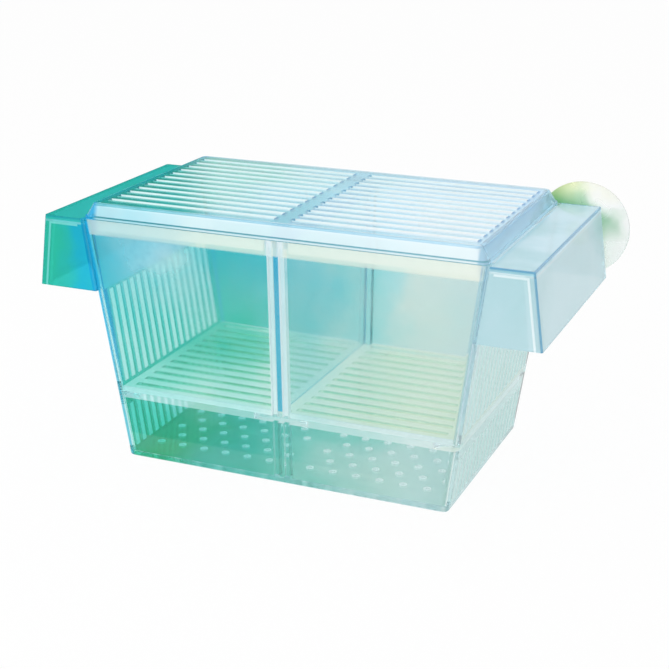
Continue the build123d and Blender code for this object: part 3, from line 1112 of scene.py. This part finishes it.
@dataclass
class Divider:
    """The clear plate between the compartments, with its T-shaped top edge."""

    rounding_mm: float = 0.2
    foot_edge_mm: float = 42.0
    cap_bottom_mm: float = 97.0

    def build(self) -> list[bpy.types.Object]:
        """Dresses the plate, whose upright edges and cap are a deep blue.

        Returns:
            The divider's pieces.
        """
        edge = Fade(Axis.ACROSS, self.foot_edge_mm - 1.4, self.foot_edge_mm - 0.6, True, SIDE_LEAN)
        cap = Fade(Axis.UP, self.cap_bottom_mm - 0.2, self.cap_bottom_mm)
        patches = (Patch((edge,), EDGE_BLUE, 0.15), Patch((cap,), EDGE_BLUE, 0.5))
        finish = ClearPlastic("divider_clear", DIVIDER_TINT, DIVIDER_TINT, patches)
        return [CadPiece("divider", finish, self.rounding_mm).dress()]


@dataclass
class FalseFloor:
    """The slotted plate that lies over the fry chamber on one side."""

    node: str
    rounding_mm: float = 0.3
    half_depth_mm: float = 43.8

    def build(self) -> list[bpy.types.Object]:
        """Dresses the plate, which is milky, whiter towards the front and on its long edges.

        Returns:
            The plate's pieces.
        """
        edge = Fade(Axis.ACROSS, self.half_depth_mm - 0.9, self.half_depth_mm - 0.5, mirrored=True)
        near = Fade(Axis.ACROSS, 12.0, -26.0)
        patches = (
            Patch((Facing(Axis.UP),), SHELF_TOP, 0.08),
            Patch((Facing(Axis.UP), near), SHELF_NEAR, 0.08),
            Patch((edge,), PALE, 0.1),
        )
        finish = ClearPlastic(f"{self.node}_milky", SHELF_TINT, SHELF_TINT, patches, transmission=0.8)
        return [CadPiece(self.node, finish, self.rounding_mm).dress()]


@dataclass
class SuctionCup:
    """The soft cup behind the right wing: a lathed dish with a hub, a neck and a head."""

    node: str = "suction_cup"
    head_radius_mm: float = 4.2
    head_depth_mm: float = 3.4
    neck_radius_mm: float = 2.85
    wing_wall_mm: float = 2.3
    hub_radius_mm: float = 7.0
    hub_depth_mm: float = 3.2
    edge_mm: float = 1.0
    floor_mm: float = 1.6
    seal_mm: float = 2.0
    ring_radius_mm: float = 15.0
    ring_height_mm: float = 0.35
    dish_steps: int = 14
    turns: int = 96

    def arc(self, near: tuple[float, float], far: tuple[float, float]) -> list[tuple[float, float]]:
        """Finds a dish's outline between two rings, as part of a sphere about the axis.

        Args:
            near: radius and height of the inner ring.
            far: radius and height of the outer ring.

        Returns:
            Radius and height of each ring, both ends included.
        """
        rise = far[1] - near[1]
        centre = near[1] + (far[0] ** 2 - near[0] ** 2 + rise**2) / (2 * rise)
        sphere = math.hypot(centre - near[1], near[0])
        rings = []
        for step in range(self.dish_steps + 1):
            radius = near[0] + (far[0] - near[0]) * step / self.dish_steps
            rings.append((radius, centre - math.sqrt(sphere**2 - radius**2)))
        return rings

    def outline(self, radius: float, length: float) -> list[tuple[float, float]]:
        """Draws half of the cup's section, from the head's tip to the middle of its hollow.

        Args:
            radius: the cup's greatest radius, in millimetres.
            length: the cup's length along its axis, in millimetres.

        Returns:
            Radius and height above the head's tip of each ring, in millimetres.
        """
        head_top = self.head_depth_mm
        hub_low = head_top + self.wing_wall_mm
        hub_high = hub_low + self.hub_depth_mm
        soft = 0.3
        stem = [
            (0.0, 0.0),
            (self.neck_radius_mm - soft, 0.0),
            (self.neck_radius_mm, soft),
            (self.head_radius_mm - soft, head_top * 0.6),
            (self.head_radius_mm, head_top * 0.7),
            (self.head_radius_mm, head_top - soft),
            (self.head_radius_mm - soft, head_top),
            (self.neck_radius_mm, head_top),
            (self.neck_radius_mm, head_top + soft),
            (self.neck_radius_mm, hub_low - soft),
            (self.neck_radius_mm, hub_low),
            (self.hub_radius_mm - soft, hub_low),
            (self.hub_radius_mm, hub_low + soft),
            (self.hub_radius_mm, hub_high - soft),
        ]
        outside = self.arc((self.hub_radius_mm + soft, hub_high), (radius - soft, length - self.edge_mm))
        rim = [
            (radius, length - self.edge_mm + soft),
            (radius, length - soft),
            (radius - soft, length),
        ]
        hollow = self.arc((0.8, hub_high + self.floor_mm), (radius - self.seal_mm, length - soft))
        inside = []
        for ring, height in reversed(hollow):
            swell = math.exp(-(((ring - self.ring_radius_mm) / 0.8) ** 2))
            inside.append((ring, height - self.ring_height_mm * swell))
        return stem + outside + rim + inside + [(0.0, hub_high + self.floor_mm)]

    def lathe(self) -> bpy.types.Object:
        """Turns the outline about the cup's axis, where the CAD node stands.

        Returns:
            The cup as a closed mesh.
        """
        low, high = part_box(self.node)
        centre = (low + high) / 2
        rings = self.outline((high.x - low.x) / 2 / MM, (high.y - low.y) / MM)
        mesh = bmesh.new()
        loops = []
        for radius, height in rings:
            count = 1 if radius == 0 else self.turns
            loop = []
            for turn in range(count):
                angle = 2 * math.pi * turn / self.turns
                across, up = radius * MM * math.cos(angle), radius * MM * math.sin(angle)
                loop.append(mesh.verts.new((centre.x + across, low.y + height * MM, centre.z + up)))
            loops.append(loop)
        for first, second in zip(loops, loops[1:]):
            for turn in range(self.turns):
                after = (turn + 1) % self.turns
                if len(first) == 1:
                    corners = (first[0], second[after], second[turn])
                elif len(second) == 1:
                    corners = (first[turn], first[after], second[0])
                else:
                    corners = (first[turn], first[after], second[after], second[turn])
                mesh.faces.new(corners).smooth = True
        bmesh.ops.recalc_face_normals(mesh, faces=mesh.faces)
        data = bpy.data.meshes.new("soft_cup")
        mesh.to_mesh(data)
        mesh.free()
        cup = bpy.data.objects.new("soft_cup", data)
        bpy.context.collection.objects.link(cup)
        return cup

    def build(self) -> list[bpy.types.Object]:
        """Makes the cup and puts it in the CAD node's place.

        Returns:
            The cup's pieces.
        """
        cup = self.lathe()
        # Painted highlight: a cream, partly frosted patch in soft clouds over the cup's top.
        top = Patch((Fade(Axis.UP, 99.0, 106.0), Clouds(60.0, 0.35, 0.6)), CUP_PAINTED_HIGHLIGHT, 0.3)
        # Painted light: the lower right of the cup made near-white and clearer, against the shade of its
        # underside.
        low = Patch((Fade(Axis.ALONG, 96.0, 102.0), Fade(Axis.UP, 94.0, 84.0)), CUP_PAINTED_LIGHT, 0.75)
        finish = ClearPlastic("cup_soft", CUP_TINT, CUP_TINT, (top, low), roughness=0.25, transmission=0.4)
        cup.data.materials.append(finish.build())
        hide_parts(self.node)
        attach(cup, "suction_cup")
        return [cup]


def main() -> None:
    """Builds the camera, the studio and every sub-assembly in order, and logs each piece."""
    logging.basicConfig(level=logging.INFO, format="%(message)s")
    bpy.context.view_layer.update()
    PhotoCamera().build()
    Studio().build()
    assemblies = (
        Tub(),
        Divider(),
        FalseFloor("left_shelf"),
        FalseFloor("right_shelf"),
        Lid(),
        SuctionCup(),
    )
    for assembly in assemblies:
        for piece in assembly.build():
            log.info("%s: %s", type(assembly).__name__, piece.name)


if __name__ == "__main__":
    main()
